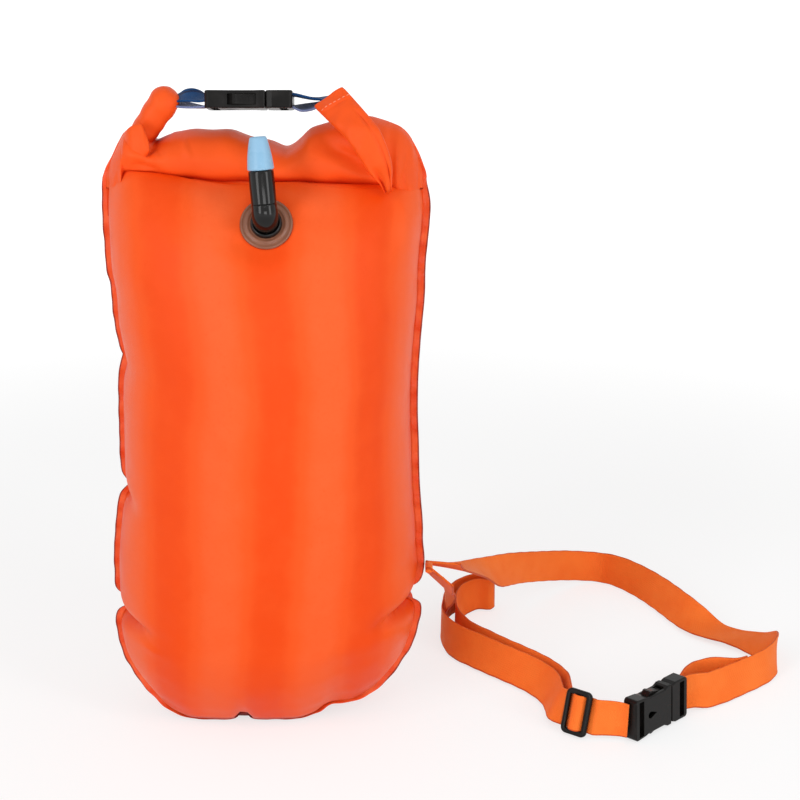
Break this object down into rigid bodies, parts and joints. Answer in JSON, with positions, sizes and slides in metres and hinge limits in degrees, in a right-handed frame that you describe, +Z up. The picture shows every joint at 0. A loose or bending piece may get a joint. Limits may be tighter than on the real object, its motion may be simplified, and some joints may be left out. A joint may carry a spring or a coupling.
{
  "type": "open water swim buoy",
  "caption": "Inflatable tow float with a roll-top dry compartment, a clipped handle, a twist-lock blowing valve, a leash and an adjustable waist belt with a side-release buckle.",
  "frame": {"origin": "on the flat base that the bag stands on, under the middle of its width and depth", "axes": "+Z up towards the rolled mouth, +X to the side with the leash, the front with the valve faces -Y"},
  "size_m": [0.4967, 0.3002, 0.4584],
  "materials": {
    "coated_fabric": "satin coated woven fabric",
    "liner_fabric": "satin coated woven fabric",
    "welded_edge": "satin, pressed flat by the weld",
    "clear_plastic_strip": "matte",
    "blue_webbing": "woven",
    "orange_webbing": "woven",
    "black_acetal": "satin",
    "smoked_vinyl": "gloss, smoky brown",
    "black_vinyl": "gloss",
    "pale_blue_plastic": "satin",
    "seal_rubber": "matte"
  },
  "bodies": {
    "bag": {"front_air_chamber": "coated_fabric", "back_air_chamber": "coated_fabric", "dry_compartment_liner": "liner_fabric", "side_seam_left": "welded_edge", "side_seam_right": "welded_edge", "rolled_mouth": "coated_fabric", "mouth_stiffener_front": "clear_plastic_strip", "mouth_stiffener_back": "clear_plastic_strip", "left_roll_end": "coated_fabric", "right_roll_end": "coated_fabric", "top_strap_left": "blue_webbing", "top_socket": "black_acetal", "valve_flange": "smoked_vinyl", "valve_backing_ring": "smoked_vinyl", "valve_collar": "black_vinyl", "leash_anchor_tab": "orange_webbing", "leash_webbing": "orange_webbing", "belt_back_webbing": "orange_webbing", "belt_sewn_return": "orange_webbing", "belt_front_webbing": "orange_webbing", "belt_adjuster_webbing": "orange_webbing", "belt_socket": "black_acetal"},
    "top_plug_and_strap": {"top_plug": "black_acetal", "top_strap_right": "blue_webbing"},
    "top_arm_back": {"top_latch_back": "black_acetal"},
    "top_arm_front": {"top_latch_front": "black_acetal"},
    "belt_plug_base": {"belt_plug": "black_acetal"},
    "belt_arm_upper": {"belt_latch_upper": "black_acetal"},
    "belt_arm_lower": {"belt_latch_lower": "black_acetal"},
    "slider": {"belt_slider": "black_acetal"},
    "valve_head": {"valve_elbow": "black_vinyl"},
    "lock_sleeve": {"valve_lock_sleeve": "black_vinyl"},
    "mouthpiece": {"valve_mouthpiece": "pale_blue_plastic", "valve_seal_ring": "seal_rubber"}
  },
  "joints": [
    {"name": "top_plug_pull", "type": "slide", "parent": "bag", "child": "top_plug_and_strap", "axis": [1, 0, 0], "range_m": [0, 0.02], "deforming": ["right_roll_end"]},
    {"name": "top_arm_back_squeeze", "type": "hinge", "parent": "top_plug_and_strap", "child": "top_arm_back", "pos_m": [0.0022, 0.0107, 0.44238], "axis": [0, 0.2419, 0.9703], "range_deg": [0, 15]},
    {"name": "top_arm_front_squeeze", "type": "hinge", "parent": "top_plug_and_strap", "child": "top_arm_front", "pos_m": [0.0022, -0.0087, 0.44722], "axis": [0, 0.2419, 0.9703], "range_deg": [-15, 0]},
    {"name": "belt_plug_pull", "type": "slide", "parent": "bag", "child": "belt_plug_base", "axis": [0.7132, 0.7009, 0], "range_m": [0, 0.02], "deforming": ["belt_back_webbing", "belt_sewn_return"]},
    {"name": "belt_arm_upper_squeeze", "type": "hinge", "parent": "belt_plug_base", "child": "belt_arm_upper", "pos_m": [0.28239, -0.03585, 0.02636], "axis": [0.7, -0.7123, 0.0523], "range_deg": [0, 15]},
    {"name": "belt_arm_lower_squeeze", "type": "hinge", "parent": "belt_plug_base", "child": "belt_arm_lower", "pos_m": [0.28313, -0.0366, 0.00639], "axis": [0.7, -0.7123, 0.0523], "range_deg": [-15, 0]},
    {"name": "belt_slider_slide", "type": "slide", "parent": "bag", "child": "slider", "axis": [0.809, -0.5878, 0], "range_m": [-0.015, 0.015], "deforming": ["belt_front_webbing", "belt_adjuster_webbing"]},
    {"name": "valve_swivel", "type": "hinge", "parent": "bag", "child": "valve_head", "pos_m": [0.007, -0.059, 0.3755], "axis": [0, -0.8387, 0.5446], "range_deg": [-65, 55]},
    {"name": "valve_lock_turn", "type": "hinge", "parent": "valve_head", "child": "lock_sleeve", "pos_m": [0.00627, -0.06668, 0.39041], "axis": [-0.0796, 0.1545, 0.9848], "range_deg": [0, 90]},
    {"name": "mouthpiece_lift", "type": "slide", "parent": "valve_head", "child": "mouthpiece", "axis": [-0.0796, 0.1545, 0.9848], "range_m": [0, 0.003]}
  ],
  "couplings": [
    {"joint": "top_arm_back_squeeze", "follows": "top_plug_pull", "rad_per_m": 13.08},
    {"joint": "top_arm_front_squeeze", "follows": "top_plug_pull", "rad_per_m": -13.08},
    {"joint": "belt_arm_upper_squeeze", "follows": "belt_plug_pull", "rad_per_m": 13.08},
    {"joint": "belt_arm_lower_squeeze", "follows": "belt_plug_pull", "rad_per_m": -13.08},
    {"joint": "valve_lock_turn", "follows": "mouthpiece_lift", "rad_per_m": 523}
  ]
}
